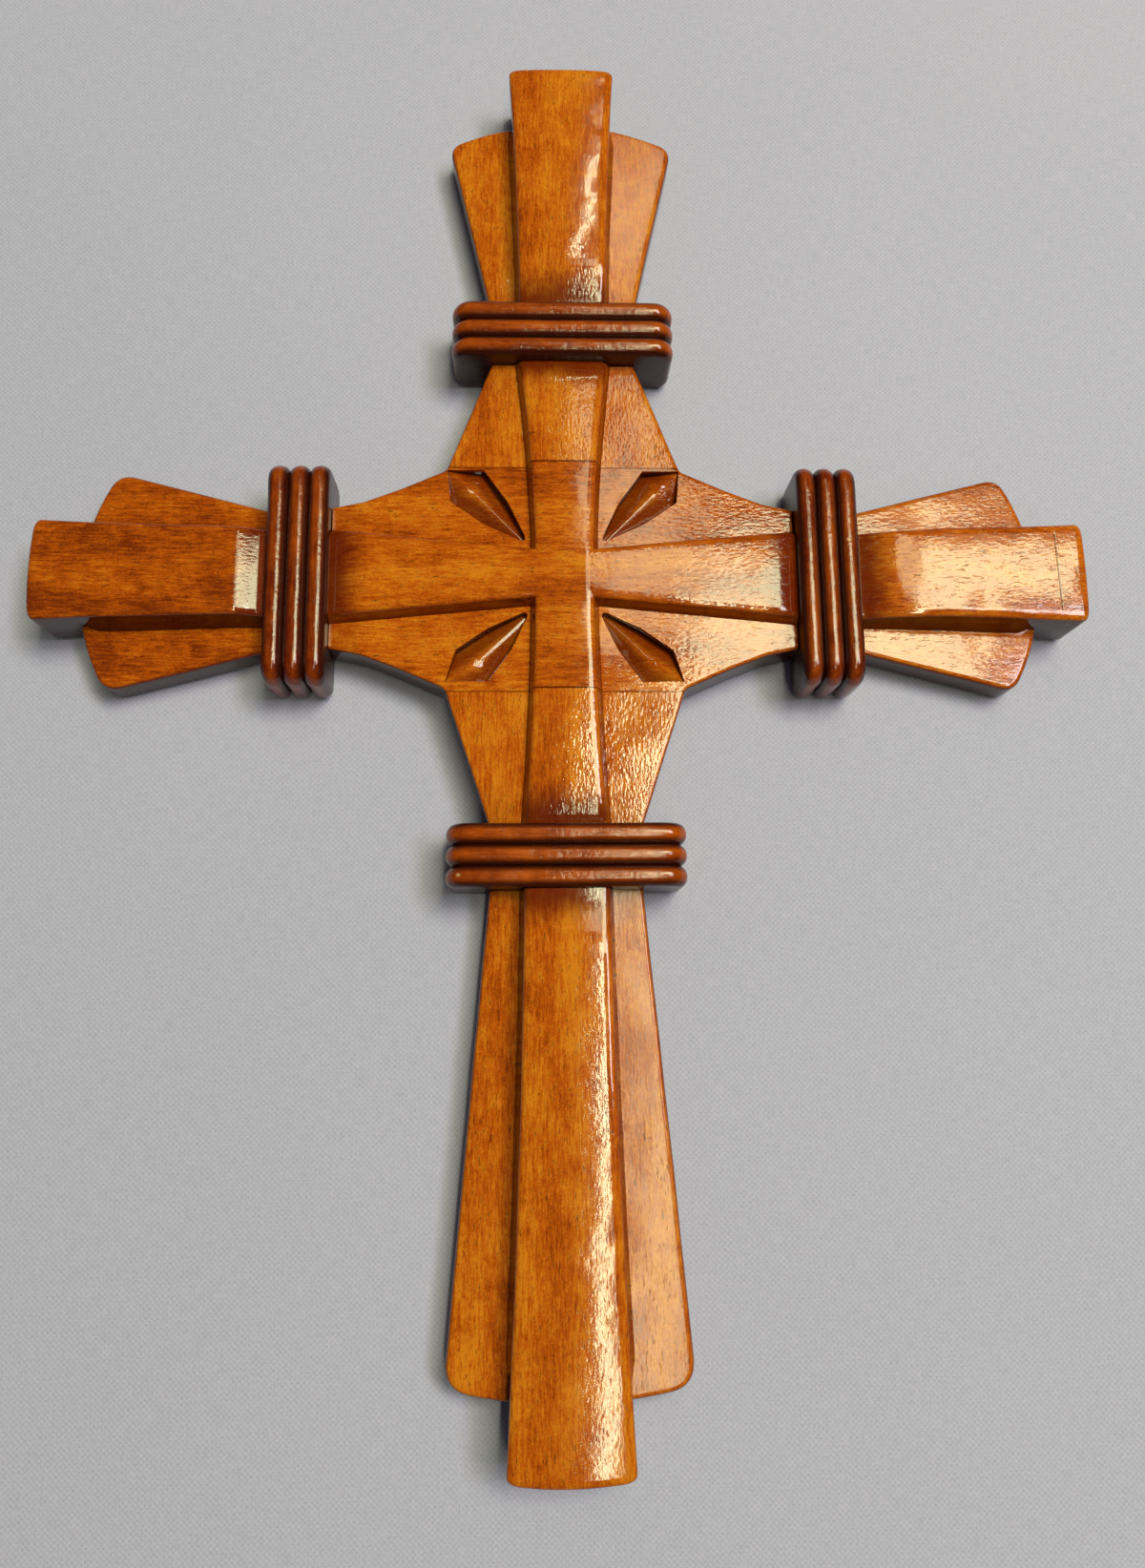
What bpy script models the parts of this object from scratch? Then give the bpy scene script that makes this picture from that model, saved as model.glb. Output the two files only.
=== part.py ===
# Carved wooden wall cross, lying on its back with its front facing up.
# Two half-lapped boards, four split collars, four lap pegs and a keyhole hanger.
# Heights are counted from the flat back of the boards; the collars stand proud behind it.
import bpy
import bmesh
import math
from mathutils import Matrix, Vector

# Overall reach of the arms, measured from the middle of the crossing.
top_reach = 0.1676
bottom_reach = 0.2410
side_reach = 0.1524

# Boards: width as bought, and the heights of the carved levels above their back.
board_width = 0.069
bar_end_height = 0.0180
bar_waist_height = 0.0163
ground_height = 0.0117
wing_height = 0.0085
lap_height = 0.0058

# Clearances between pieces that touch.
glue_gap = 0.0002
seam_gap = 0.00015
lap_trim = 0.0004
lap_tab = 0.0005

# Collars: a ring of three beads in two parts, and the housing it sits in.
collar_width = 0.067
collar_height = 0.0216
bead_pitch = 0.0059
bead_count = 3
bead_round = 0.0024
bead_overlap = 0.0002
collar_front_round = 0.0062
collar_back_round = 0.0042
collar_back_proud = 0.0025
collar_reach = 0.077
bottom_collar_reach = 0.0824
housing_depth = 0.001

# Arms where they meet the collars, and the bar at the crossing.
waist_half = 0.0217
bar_waist_half = 0.0132
upright_bar_half = 0.0086
cross_bar_half = 0.0074
upright_end_half = 0.0164
cross_end_half = 0.0150
lower_outer_waist_half = 0.0119
lower_inner_waist_half = 0.0114
bar_dip_length = 0.022
bar_flare = 1.6
wall_foot = 0.0020
end_foot = 0.0024
edge_round = 0.0012

# Wings: half width at the outer corner and radius of the arc about the collar.
top_wing_half = 0.0354
top_wing_radius = 0.0780
bottom_wing_half = 0.0330
bottom_wing_radius = 0.1420
side_wing_half = 0.0338
side_wing_radius = 0.0645
wing_corner_round = 0.0038

# Ground of the crosspiece: it narrows in two steps between the seams and the collars.
ground_corner = 0.0010
ground_shoulder_run = 0.0135
ground_shoulder_half = 0.0279
ground_hip_run = 0.0245
ground_hip_half = 0.0236

# Rays carved in the four corners of the crossing.
ray_outer = 0.0350
ray_long = 0.0340
ray_short = 0.0236
ray_inner = 0.0104
ray_apex = 0.0285
ray_apex_height = 0.0110
ray_inner_height = 0.0101
ray_side_height = 0.0082
ray_outer_height = 0.0072
lower_ray_scale = 0.925
ray_corner_margin = 0.0004
ray_cutter_rise = 0.004

# Pegs through the lap.
peg_radius = 0.003
peg_length = 0.0115
peg_inset = 0.0002
peg_reach = 0.021
peg_tip_room = 0.0004
peg_chamfer = 0.0005

# Keyhole hanger let into the back of the top arm.
hanger_from_end = 0.0456
plate_length = 0.044
plate_width = 0.014
plate_thickness = 0.0015
plate_inset = 0.0002
keyhole_radius = 0.0045
keyhole_slot_half = 0.0022
keyhole_drop = 0.0045
keyhole_rise = 0.0065
pocket_half_width = 0.0055
pocket_half_length = 0.0125
pocket_depth = 0.0065
screw_spacing = 0.0345
screw_length = 0.012
screw_radius = 0.0014
screw_head_radius = 0.0028
screw_head_depth = 0.0014
screw_slot_width = 0.0007
screw_slot_depth = 0.0005
screw_point_length = 0.003
screw_point_radius = 0.0002
screw_join = 0.0005
pilot_clearance = 0.0002
pilot_end_room = 0.0005

# How far cutting shapes run past the faces that they cut.
overshoot = 0.01
slot_overshoot = 0.002
sink_overshoot = 0.00002

# Sizes worked out from the ones above.
board_half = board_width / 2
hanger_reach = top_reach - hanger_from_end
collar_half = (bead_pitch * bead_count) / 2
shoulder = collar_half + glue_gap
neck_half = waist_half - housing_depth
neck_height = wing_height - housing_depth
neck_bar_half = bar_waist_half - housing_depth
neck_bar_height = bar_waist_height - housing_depth
union_overlap = 0.001
seam_place = board_half + seam_gap
lap_half = board_half - lap_trim
ground_far = collar_reach - shoulder


def clear_scene():
    for obj in list(bpy.data.objects):
        bpy.data.objects.remove(obj, do_unlink=True)


clear_scene()
part_collection = bpy.data.collections.new("wooden_cross")
bpy.context.scene.collection.children.link(part_collection)
cutter_collection = bpy.data.collections.new("cutters")
bpy.context.scene.collection.children.link(cutter_collection)


def make_material(name, colour, roughness, metallic=0.0):
    material = bpy.data.materials.new(name)
    material.use_nodes = True
    shader = material.node_tree.nodes["Principled BSDF"]
    shader.inputs["Base Color"].default_value = (*colour, 1.0)
    shader.inputs["Roughness"].default_value = roughness
    shader.inputs["Metallic"].default_value = metallic
    return material


def link_mesh(name, mesh, cutter=False):
    obj = bpy.data.objects.new(name, mesh)
    if cutter:
        cutter_collection.objects.link(obj)
        obj.hide_render = True
        obj.display_type = "WIRE"
    else:
        part_collection.objects.link(obj)
    return obj


def clean_mesh(mesh):
    work = bmesh.new()
    work.from_mesh(mesh)
    bmesh.ops.remove_doubles(work, verts=work.verts, dist=0.000002)
    bmesh.ops.recalc_face_normals(work, faces=work.faces)
    work.to_mesh(mesh)
    work.free()


# A flat plate from an outline in X and Y, standing from one height to another.
def make_plate(name, outlines, low, high, cutter=True, rim=0.0):
    curve = bpy.data.curves.new(name + "_outline", "CURVE")
    curve.dimensions = "2D"
    curve.fill_mode = "BOTH"
    curve.extrude = (high - low) / 2 - rim
    curve.bevel_depth = rim
    curve.bevel_resolution = 3
    curve.offset = -rim
    for outline in outlines:
        spline = curve.splines.new("POLY")
        spline.points.add(len(outline) - 1)
        for point, place in zip(spline.points, outline):
            point.co = (place[0], place[1], 0.0, 1.0)
        spline.use_cyclic_u = True
    source = bpy.data.objects.new(name + "_source", curve)
    bpy.context.scene.collection.objects.link(source)
    bpy.context.view_layer.update()
    mesh = bpy.data.meshes.new_from_object(source)
    bpy.data.objects.remove(source, do_unlink=True)
    mesh.transform(Matrix.Translation((0.0, 0.0, (low + high) / 2)))
    clean_mesh(mesh)
    return link_mesh(name, mesh, cutter)


def make_box(name, low_corner, high_corner, cutter=True):
    work = bmesh.new()
    size = Vector(high_corner) - Vector(low_corner)
    middle = (Vector(high_corner) + Vector(low_corner)) / 2
    bmesh.ops.create_cube(work, size=1.0)
    bmesh.ops.scale(work, vec=size, verts=work.verts)
    bmesh.ops.translate(work, vec=middle, verts=work.verts)
    mesh = bpy.data.meshes.new(name)
    work.to_mesh(mesh)
    work.free()
    return link_mesh(name, mesh, cutter)


def make_rod(name, radius, low, high, place, tip_radius=None, segments=32, cutter=True):
    work = bmesh.new()
    top = radius if tip_radius is None else tip_radius
    bmesh.ops.create_cone(
        work,
        cap_ends=True,
        segments=segments,
        radius1=radius,
        radius2=top,
        depth=high - low,
    )
    bmesh.ops.translate(work, vec=(place[0], place[1], (low + high) / 2), verts=work.verts)
    mesh = bpy.data.meshes.new(name)
    work.to_mesh(mesh)
    work.free()
    return link_mesh(name, mesh, cutter)


def apply_modifiers(obj):
    bpy.context.view_layer.update()
    graph = bpy.context.evaluated_depsgraph_get()
    mesh = bpy.data.meshes.new_from_object(obj.evaluated_get(graph))
    old_mesh = obj.data
    obj.modifiers.clear()
    obj.data = mesh
    bpy.data.meshes.remove(old_mesh)
    clean_mesh(obj.data)


def combine(target, tool, operation):
    modifier = target.modifiers.new(tool.name, "BOOLEAN")
    modifier.operation = operation
    modifier.solver = "EXACT"
    modifier.object = tool
    apply_modifiers(target)


def join_all(target, tools):
    for tool in tools:
        combine(target, tool, "UNION")


def cut_all(target, tools):
    for tool in tools:
        combine(target, tool, "DIFFERENCE")


# Turns arm places, given along and across the arm, into places on the cross.
def arm_matrix(turn):
    return Matrix.Rotation(turn, 4, "Z")


top_turn = 0.0
left_turn = math.pi / 2
bottom_turn = math.pi
right_turn = -math.pi / 2


def turn_mesh(obj, turn):
    obj.data.transform(arm_matrix(turn))


# A raised bar lofted along its arm: its width, height and wall foot all change on the way.
def make_bar(name, stations, low, turn):
    work = bmesh.new()
    rings = []
    for along, half, foot, level, height, inset in stations:
        side = [
            (half + foot, low),
            (half + foot, level),
            (half, height - edge_round - inset),
            (half - edge_round * 0.3, height - edge_round * 0.3 - inset),
            (half - edge_round, height - inset),
        ]
        ring = [(across, along, up) for across, up in side]
        ring += [(-across, along, up) for across, up in reversed(side)]
        rings.append([work.verts.new(place) for place in ring])
    for near, far in zip(rings, rings[1:]):
        count = len(near)
        for index in range(count):
            after = (index + 1) % count
            work.faces.new((near[index], near[after], far[after], far[index]))
    work.faces.new(rings[0])
    work.faces.new(list(reversed(rings[-1])))
    bmesh.ops.recalc_face_normals(work, faces=work.faces)
    mesh = bpy.data.meshes.new(name)
    work.to_mesh(mesh)
    work.free()
    obj = link_mesh(name, mesh, cutter=True)
    turn_mesh(obj, turn)
    return obj


def mix(low, high, share):
    return low + (high - low) * share


# The bar outside a collar: low beside the collar, then level, and wider toward its end.
# Its walls slope out to a foot only beside the wings; past them it stands square.
def outer_bar(name, collar_place, reach, waist, end_half, wing_radius, turn):
    start = collar_place + shoulder
    length = reach - start
    foot_end = collar_place + math.sqrt(wing_radius ** 2 - (end_half + end_foot) ** 2)

    def bar_station(along, foot):
        share = (along - start) / length
        rise = min(1.0, (along - start) / bar_dip_length)
        smooth = rise * rise * (3 - 2 * rise)
        half = mix(waist, end_half, share ** bar_flare)
        height = mix(bar_waist_height, bar_end_height, smooth)
        return (along, half, foot, wing_height, height, 0.0)

    square = []
    for share in (0.0, 0.06, 0.12, 0.19, 0.28, 0.4, 0.52, 0.64, 0.76, 0.88):
        square.append(bar_station(start + length * share, 0.0))
    for back, inset in ((edge_round, 0.0), (edge_round * 0.3, edge_round * 0.3), (0.0, edge_round)):
        square.append((reach - back, end_half - inset, 0.0, wing_height, bar_end_height, inset))
    sloped = []
    for share in (0.0, 0.08, 0.16, 0.25, 0.4, 0.6, 0.8, 1.0):
        foot = mix(wall_foot, end_foot, share)
        sloped.append(bar_station(start + (foot_end - start) * share, foot))
    return [
        make_bar(name, square, 0.0, turn),
        make_bar(name + "_walls", sloped, wing_height - union_overlap * 2, turn),
    ]


# The bar between a collar and the crossing.
def inner_bar(name, near, collar_place, near_half, waist, turn):
    far = collar_place - shoulder
    stations = []
    for share in (0.0, 0.2, 0.4, 0.6, 0.8, 1.0):
        along = mix(near, far, share)
        part = max(0.0, (along - upright_bar_half) / (far - upright_bar_half))
        half = mix(near_half, waist, part ** bar_flare)
        stations.append((along, half, wall_foot, ground_height, bar_waist_height, 0.0))
    return make_bar(name, stations, ground_height - union_overlap * 4, turn)


# A wing pair outside a collar: a fan cut off by an arc about the collar.
def wing_outline(collar_place, corner_half, radius):
    start = Vector((waist_half, collar_place + shoulder))
    centre = Vector((0.0, collar_place))
    corner_angle = math.asin(corner_half / radius)
    corner = centre + radius * Vector((math.sin(corner_angle), math.cos(corner_angle)))
    edge_end = corner + (start - corner).normalized() * wing_corner_round
    arc_angle = corner_angle - wing_corner_round / radius
    arc_start = centre + radius * Vector((math.sin(arc_angle), math.cos(arc_angle)))
    half = [start]
    for step in range(5):
        share = step / 4
        near = edge_end.lerp(corner, share)
        far = corner.lerp(arc_start, share)
        half.append(near.lerp(far, share))
    for step in range(1, 6):
        angle = arc_angle * (1 - step / 6)
        half.append(centre + radius * Vector((math.sin(angle), math.cos(angle))))
    outline = [(place.x, place.y) for place in half]
    outline += [(-place.x, place.y) for place in reversed(half)]
    return outline


def make_wings(name, collar_place, corner_half, radius, turn):
    obj = make_plate(name, [wing_outline(collar_place, corner_half, radius)], 0.0, wing_height)
    turn_mesh(obj, turn)
    return obj


# The waist that a collar drops over, stepped like the arm but cut back by the housing depth.
def make_neck(name, collar_place, turn):
    near = collar_place - shoulder - union_overlap
    far = collar_place + shoulder + union_overlap
    base = make_box(name + "_base", (-neck_half, near, 0.0), (neck_half, far, neck_height))
    low = neck_height - union_overlap
    rib = make_box(name + "_rib", (-neck_bar_half, near, low), (neck_bar_half, far, neck_bar_height))
    turn_mesh(base, turn)
    turn_mesh(rib, turn)
    return [base, rib]


def outer_arm(name, collar_place, reach, waist, end_half, corner_half, radius, turn):
    pieces = [make_wings(name + "_wings", collar_place, corner_half, radius, turn)]
    pieces += make_neck(name + "_neck", collar_place, turn)
    pieces += outer_bar(name + "_bar", collar_place, reach, waist, end_half, radius, turn)
    return pieces


# Flat ground beside the bar, between the seam and a collar on the upright.
def upright_ground(name, collar_place, turn):
    near = seam_place
    far = collar_place - shoulder
    outline = [(-board_half, near), (board_half, near), (waist_half, far), (-waist_half, far)]
    obj = make_plate(name, [outline], 0.0, ground_height)
    turn_mesh(obj, turn)
    return obj


wood = make_material("board_wood", (0.50, 0.19, 0.035), 0.32)
cross_wood = make_material("crosspiece_wood", (0.52, 0.20, 0.038), 0.32)

# Upright: two outer arms, two pieces of ground and the thin lap that joins them.
upright = make_box(
    "upright",
    (-lap_half, -seam_place - lap_tab, 0.0),
    (lap_half, seam_place + lap_tab, lap_height - glue_gap / 2),
    cutter=False,
)
upright_tools = [
    upright_ground("upper_ground", collar_reach, top_turn),
    upright_ground("lower_ground", bottom_collar_reach, bottom_turn),
]
upright_tools += outer_arm(
    "top_arm",
    collar_reach,
    top_reach,
    bar_waist_half,
    upright_end_half,
    top_wing_half,
    top_wing_radius,
    top_turn,
)
upright_tools += outer_arm(
    "bottom_arm",
    bottom_collar_reach,
    bottom_reach,
    lower_outer_waist_half,
    upright_end_half,
    bottom_wing_half,
    bottom_wing_radius,
    bottom_turn,
)
upright_tools.append(
    inner_bar("upper_bar", seam_place, collar_reach, upright_bar_half, bar_waist_half, top_turn)
)
upright_tools.append(
    inner_bar(
        "lower_bar",
        seam_place,
        bottom_collar_reach,
        upright_bar_half,
        lower_inner_waist_half,
        bottom_turn,
    )
)
join_all(upright, upright_tools)
upright.data.materials.clear()
upright.data.materials.append(wood)

# Crosspiece: star shaped ground, two outer arms and both raised bars of the crossing.
quarter = [
    (board_half, board_half),
    (board_half + ground_corner, board_half - ground_corner),
    (board_half + ground_shoulder_run, ground_shoulder_half),
    (board_half + ground_hip_run, ground_hip_half),
    (ground_far, waist_half),
]
star = [(x, y) for x, y in quarter]
star += [(x, -y) for x, y in reversed(quarter)]
star += [(-x, -y) for x, y in quarter]
star += [(-x, y) for x, y in reversed(quarter)]
crosspiece = make_plate("crosspiece", [star], 0.0, ground_height, cutter=False)
crosspiece_tools = []
for side_name, side_turn in (("left", left_turn), ("right", right_turn)):
    crosspiece_tools += outer_arm(
        side_name + "_arm",
        collar_reach,
        side_reach,
        bar_waist_half,
        cross_end_half,
        side_wing_half,
        side_wing_radius,
        side_turn,
    )


def crossing_bar(name, near_reach, far_reach, near_end, far_end, middle_half, power, turn):
    stations = []
    for share in (-1.0, -0.75, -0.5, -0.25, -0.13, 0.13, 0.25, 0.5, 0.75, 1.0):
        reach = far_reach if share > 0 else near_reach
        end_half = far_end if share > 0 else near_end
        along = reach * share
        part = max(0.0, (abs(along) - upright_bar_half) / (collar_reach - upright_bar_half))
        half = mix(middle_half, end_half, part ** power)
        stations.append((along, half, wall_foot, ground_height, bar_waist_height, 0.0))
    return make_bar(name, stations, ground_height - union_overlap * 4, turn)


crosspiece_tools.append(
    crossing_bar(
        "level_bar",
        ground_far,
        ground_far,
        bar_waist_half,
        bar_waist_half,
        cross_bar_half,
        1.0,
        right_turn,
    )
)
crosspiece_tools.append(
    crossing_bar(
        "plumb_bar",
        board_half,
        board_half,
        lower_inner_waist_half,
        bar_waist_half,
        upright_bar_half,
        bar_flare,
        top_turn,
    )
)
join_all(crosspiece, crosspiece_tools)
lap_notch = make_box(
    "lap_notch",
    (-lap_half - glue_gap, -board_half - overshoot, -overshoot),
    (lap_half + glue_gap, board_half + overshoot, lap_height + glue_gap / 2),
)
combine(crosspiece, lap_notch, "DIFFERENCE")


# The hollow of one ray: steep walls down to four facets that meet at a raised apex.
def make_ray(name, side_x, side_y, scale):
    above = ground_height + ray_cutter_rise
    inner = (ray_inner, ray_inner)
    long_side = (ray_long * scale, ray_short * scale)
    outer = (ray_outer + ray_corner_margin, ray_outer * scale + ray_corner_margin)
    short_side = (ray_short * scale, ray_long * scale)
    corners = [inner, long_side, outer, short_side]
    heights = [ray_inner_height, ray_side_height, ray_outer_height, ray_side_height]
    work = bmesh.new()
    top = [work.verts.new((x * side_x, y * side_y, above)) for x, y in corners]
    low = [work.verts.new((x * side_x, y * side_y, z)) for (x, y), z in zip(corners, heights)]
    middle = ray_apex * scale
    apex = work.verts.new((middle * side_x, middle * side_y, ray_apex_height))
    work.faces.new(top)
    for index in range(4):
        after = (index + 1) % 4
        work.faces.new((top[index], top[after], low[after], low[index]))
        work.faces.new((low[index], low[after], apex))
    bmesh.ops.recalc_face_normals(work, faces=work.faces)
    mesh = bpy.data.meshes.new(name)
    work.to_mesh(mesh)
    work.free()
    return link_mesh(name, mesh, cutter=True)


cut_all(
    crosspiece,
    [
        make_ray("ray_upper_left", -1, 1, 1.0),
        make_ray("ray_upper_right", 1, 1, 1.0),
        make_ray("ray_lower_left", -1, -1, lower_ray_scale),
        make_ray("ray_lower_right", 1, -1, lower_ray_scale),
    ],
)
crosspiece.data.materials.clear()
crosspiece.data.materials.append(cross_wood)

# Peg holes through the lap and the pegs themselves.
peg_places = {
    "lap_peg_top": (0.0, peg_reach),
    "lap_peg_bottom": (0.0, -peg_reach),
    "lap_peg_left": (-peg_reach, 0.0),
    "lap_peg_right": (peg_reach, 0.0),
}
peg_hole_top = peg_inset + peg_length + peg_tip_room
for peg_name, peg_place in peg_places.items():
    hole = make_rod(
        peg_name + "_hole",
        peg_radius + glue_gap,
        -overshoot,
        peg_hole_top,
        peg_place,
        segments=24,
    )
    combine(upright, hole, "DIFFERENCE")
    combine(crosspiece, hole, "DIFFERENCE")
    peg = make_rod(
        peg_name,
        peg_radius,
        0.0,
        peg_length,
        (0.0, 0.0),
        segments=24,
        cutter=False,
    )
    peg.location = (peg_place[0], peg_place[1], peg_inset)
    chamfer = peg.modifiers.new("tip_chamfer", "BEVEL")
    chamfer.width = peg_chamfer
    chamfer.segments = 1
    chamfer.limit_method = "ANGLE"
    chamfer.angle_limit = math.radians(60)
    apply_modifiers(peg)
    peg.data.materials.append(make_material(peg_name + "_wood", (0.62, 0.42, 0.22), 0.55))


# Rounded rectangle in X and Y, with different rounding at the bottom and top corners.
def rounded_outline(half_width, low, high, low_round, high_round, steps):
    outline = []
    centres = [
        (half_width - high_round, high - high_round, high_round, 0.0),
        (-half_width + high_round, high - high_round, high_round, 90.0),
        (-half_width + low_round, low + low_round, low_round, 180.0),
        (half_width - low_round, low + low_round, low_round, 270.0),
    ]
    for middle_x, middle_y, radius, first in centres:
        for step in range(steps + 1):
            angle = math.radians(first + 90.0 * step / steps)
            outline.append((middle_x + radius * math.cos(angle), middle_y + radius * math.sin(angle)))
    return outline


# Three rounded slabs side by side make one beaded ring, solid until its parts are cut.
def make_beaded_ring(name):
    low_side = -collar_back_proud
    high_side = collar_height - collar_back_proud
    outline = rounded_outline(
        collar_width / 2, low_side, high_side, collar_back_round, collar_front_round, 6
    )
    slabs = []
    for index in range(bead_count):
        middle = (index - (bead_count - 1) / 2) * bead_pitch
        low = middle - bead_pitch / 2
        high = middle + bead_pitch / 2
        if index > 0:
            low -= bead_overlap / 2
        if index < bead_count - 1:
            high += bead_overlap / 2
        slab = make_plate(name + "_bead_%d" % (index + 1), [outline], low, high, rim=bead_round)
        slab.data.transform(Matrix.Rotation(math.pi / 2, 4, "X"))
        slabs.append(slab)
    ring = slabs[0]
    ring.name = name
    cutter_collection.objects.unlink(ring)
    part_collection.objects.link(ring)
    ring.hide_render = False
    ring.display_type = "TEXTURED"
    join_all(ring, slabs[1:])
    return ring


def place_collar_part(part, place, turn, material):
    part.location = arm_matrix(turn) @ Vector((0.0, place, 0.0))
    part.rotation_euler = (0.0, 0.0, turn)
    part.data.materials.clear()
    part.data.materials.append(material)


# Front part: the ring with a stepped slot cut up from the back, so it drops over the waist.
def make_saddle(name, place, turn, material):
    saddle = make_beaded_ring(name)
    room = glue_gap
    far = collar_half + slot_overshoot
    base = make_box(
        name + "_slot",
        (-neck_half - room, -far, -overshoot),
        (neck_half + room, far, neck_height + room),
    )
    rib = make_box(
        name + "_rib_slot",
        (-neck_bar_half - room, -far, neck_height - union_overlap),
        (neck_bar_half + room, far, neck_bar_height + room),
    )
    cut_all(saddle, [base, rib])
    place_collar_part(saddle, place, turn, material)


# Back part: the stretch of the same ring that closes the slot behind the arm.
def make_keeper(name, place, turn, material):
    keeper = make_beaded_ring(name)
    far = collar_half + slot_overshoot
    window = make_box(
        name + "_window",
        (-neck_half, -far, -overshoot),
        (neck_half, far, -glue_gap),
    )
    combine(keeper, window, "INTERSECT")
    place_collar_part(keeper, place, turn, material)


collar_turns = {
    "collar_top": (collar_reach, top_turn),
    "collar_bottom": (bottom_collar_reach, bottom_turn),
    "collar_left": (collar_reach, left_turn),
    "collar_right": (collar_reach, right_turn),
}
for collar_name, (collar_place, collar_turn) in collar_turns.items():
    saddle_wood = make_material(collar_name + "_wood", (0.27, 0.075, 0.022), 0.30)
    make_saddle(collar_name, collar_place, collar_turn, saddle_wood)
    keeper_wood = make_material(collar_name + "_keeper_wood", (0.27, 0.075, 0.022), 0.30)
    make_keeper(collar_name + "_keeper", collar_place, collar_turn, keeper_wood)


# Plate outline with half round ends, running up the arm.
def stadium(half_width, half_length, steps):
    outline = []
    for side in (0, 1):
        for step in range(steps + 1):
            angle = math.pi * (side + step / steps)
            centre = (half_length - half_width) * (1 if side == 0 else -1)
            outline.append((half_width * math.cos(angle), centre + half_width * math.sin(angle)))
    return outline


steel = make_material("hanger_steel", (0.62, 0.60, 0.55), 0.35, 1.0)
plate_top = plate_inset + plate_thickness
plate_outline = stadium(plate_width / 2, plate_length / 2, 12)
hanger_plate = make_plate("hanger_plate", [plate_outline], 0.0, plate_thickness, cutter=False)
hanger_plate.location = (0.0, hanger_reach, plate_inset)
entry = make_rod(
    "keyhole_entry", keyhole_radius, -overshoot, overshoot, (0.0, -keyhole_drop), segments=32
)
slot = make_plate(
    "keyhole_slot",
    [
        [
            (x, y + (keyhole_rise - keyhole_drop) / 2)
            for x, y in stadium(keyhole_slot_half, (keyhole_rise + keyhole_drop) / 2, 8)
        ]
    ],
    -overshoot,
    overshoot,
)
plate_tools = [entry, slot]
for sign in (-1, 1):
    screw_y = sign * screw_spacing / 2
    sink = make_rod(
        "sink_%d" % sign,
        screw_head_radius + pilot_clearance,
        -sink_overshoot,
        screw_head_depth + sink_overshoot,
        (0.0, screw_y),
        tip_radius=screw_radius + pilot_clearance,
    )
    shank_hole = make_rod(
        "plate_hole_%d" % sign,
        screw_radius + pilot_clearance,
        -overshoot,
        overshoot,
        (0.0, screw_y),
    )
    plate_tools += [sink, shank_hole]
for tool in plate_tools:
    tool.location = hanger_plate.location
cut_all(hanger_plate, plate_tools)
hanger_plate.data.materials.clear()
hanger_plate.data.materials.append(steel)

# Rebate for the plate, pocket for the nail head and pilot holes in the upright.
rebate = make_plate(
    "plate_rebate",
    [stadium(plate_width / 2 + glue_gap, plate_length / 2 + glue_gap, 12)],
    -overshoot,
    plate_top + glue_gap,
)
pocket_outline = stadium(pocket_half_width, pocket_half_length, 8)
pocket = make_plate("nail_pocket", [pocket_outline], -overshoot, plate_top + pocket_depth)
upright_cuts = [rebate, pocket]
for sign in (-1, 1):
    pilot = make_rod(
        "pilot_%d" % sign,
        screw_radius + pilot_clearance,
        -overshoot,
        plate_inset + screw_length + pilot_end_room,
        (0.0, sign * screw_spacing / 2),
        segments=20,
    )
    upright_cuts.append(pilot)
for tool in upright_cuts:
    tool.location = (0.0, hanger_reach, 0.0)
cut_all(upright, upright_cuts)


def make_screw(name, sign):
    head_top = screw_head_depth
    screw = make_rod(
        name, screw_head_radius, 0.0, head_top, (0.0, 0.0), tip_radius=screw_radius, cutter=False
    )
    shank_top = screw_length - screw_point_length
    shank = make_rod(name + "_shank", screw_radius, head_top - screw_join, shank_top, (0.0, 0.0))
    point = make_rod(
        name + "_point",
        screw_radius * 0.999,
        shank_top - screw_join / 2,
        screw_length,
        (0.0, 0.0),
        tip_radius=screw_point_radius,
    )
    join_all(screw, [shank, point])
    half = screw_slot_width / 2
    drive = make_box(
        name + "_drive", (-overshoot, -half, -overshoot), (overshoot, half, screw_slot_depth)
    )
    combine(screw, drive, "DIFFERENCE")
    screw.location = (0.0, hanger_reach + sign * screw_spacing / 2, plate_inset)
    screw.data.materials.clear()
    screw.data.materials.append(make_material(name + "_steel", (0.66, 0.64, 0.60), 0.30, 1.0))


make_screw("hanger_screw_upper", 1)
make_screw("hanger_screw_lower", -1)


# Smooth shading with crisp carved edges.
for obj in part_collection.objects:
    for face in obj.data.polygons:
        face.use_smooth = True
    obj.data.set_sharp_from_angle(angle=math.radians(28))
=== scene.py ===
import math

import bpy
import bmesh
from mathutils import Matrix, Vector, noise


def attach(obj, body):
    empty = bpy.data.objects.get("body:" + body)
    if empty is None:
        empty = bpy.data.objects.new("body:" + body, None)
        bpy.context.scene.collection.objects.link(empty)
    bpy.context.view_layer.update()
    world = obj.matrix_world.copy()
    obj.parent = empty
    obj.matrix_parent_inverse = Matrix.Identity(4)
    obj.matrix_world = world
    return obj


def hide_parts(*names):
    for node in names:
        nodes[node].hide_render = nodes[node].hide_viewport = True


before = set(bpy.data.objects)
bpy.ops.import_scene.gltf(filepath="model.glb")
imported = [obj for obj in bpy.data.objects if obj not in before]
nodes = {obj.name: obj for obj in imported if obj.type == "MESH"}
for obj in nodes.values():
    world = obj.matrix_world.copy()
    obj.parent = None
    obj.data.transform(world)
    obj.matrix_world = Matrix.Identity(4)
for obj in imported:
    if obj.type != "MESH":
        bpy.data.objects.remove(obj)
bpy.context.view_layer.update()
print("frame loaded:", len(nodes), "nodes")

# The carving is worked in millimetres and turned into metres when a piece is finished.
metres = 0.001
turns = {"top": 0.0, "left": math.pi / 2, "bottom": math.pi, "right": -math.pi / 2}


# Camera and light

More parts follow.
